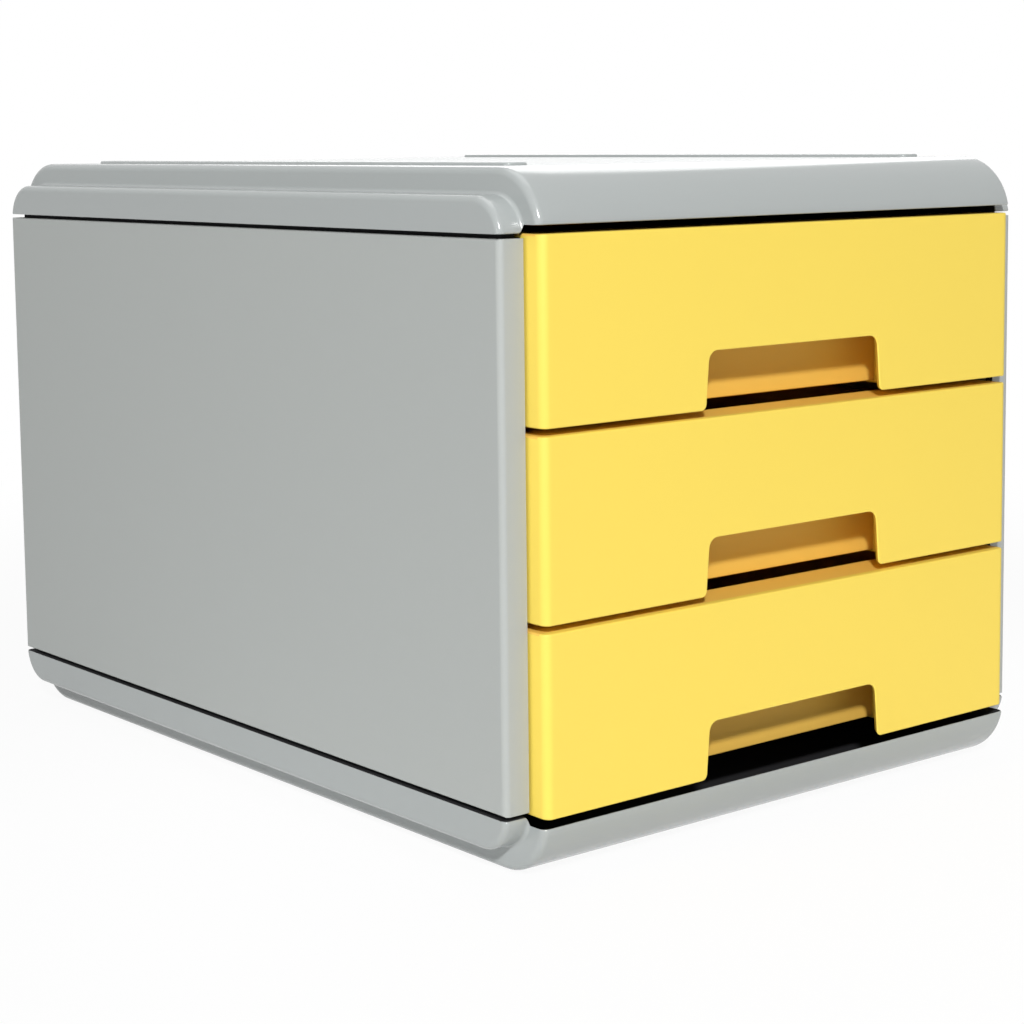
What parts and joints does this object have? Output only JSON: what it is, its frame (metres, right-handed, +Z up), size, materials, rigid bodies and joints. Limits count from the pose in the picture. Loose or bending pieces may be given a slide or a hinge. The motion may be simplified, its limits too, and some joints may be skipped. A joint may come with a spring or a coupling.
{
  "type": "mini chest of drawers",
  "caption": "Desktop chest of drawers in moulded plastic: pale grey rounded casing with a stepped lid and base, yellow sliding drawers with a finger notch in each front.",
  "frame": {"origin": "under the middle of the casing, on the surface that its feet stand on", "axes": "+Z up, drawer fronts face -Y, +X to the right seen from the front"},
  "size_m": [0.18, 0.2487, 0.1681],
  "materials": {
    "casing_grey": "satin moulded plastic",
    "drawer_yellow": "semi-gloss moulded plastic",
    "foot_rubber": "matt rubber"
  },
  "bodies": {
    "casing": {"lid": "casing_grey", "base": "casing_grey", "left_side_panel": "casing_grey", "right_side_panel": "casing_grey", "left_runner_rack": "casing_grey", "right_runner_rack": "casing_grey", "back_panel": "casing_grey", "non_slip_feet": "foot_rubber"},
    "lower_drawer": {"lower_drawer_front": "drawer_yellow", "lower_drawer_tray": "drawer_yellow"},
    "middle_drawer": {"middle_drawer_front": "drawer_yellow", "middle_drawer_tray": "drawer_yellow"},
    "upper_drawer": {"upper_drawer_front": "drawer_yellow", "upper_drawer_tray": "drawer_yellow"}
  },
  "joints": [
    {"name": "lower_drawer_slide", "type": "slide", "parent": "casing", "child": "lower_drawer", "axis": [0, -1, 0], "range_m": [0, 0.165]},
    {"name": "middle_drawer_slide", "type": "slide", "parent": "casing", "child": "middle_drawer", "axis": [0, -1, 0], "range_m": [0, 0.165]},
    {"name": "upper_drawer_slide", "type": "slide", "parent": "casing", "child": "upper_drawer", "axis": [0, -1, 0], "range_m": [0, 0.165]}
  ]
}
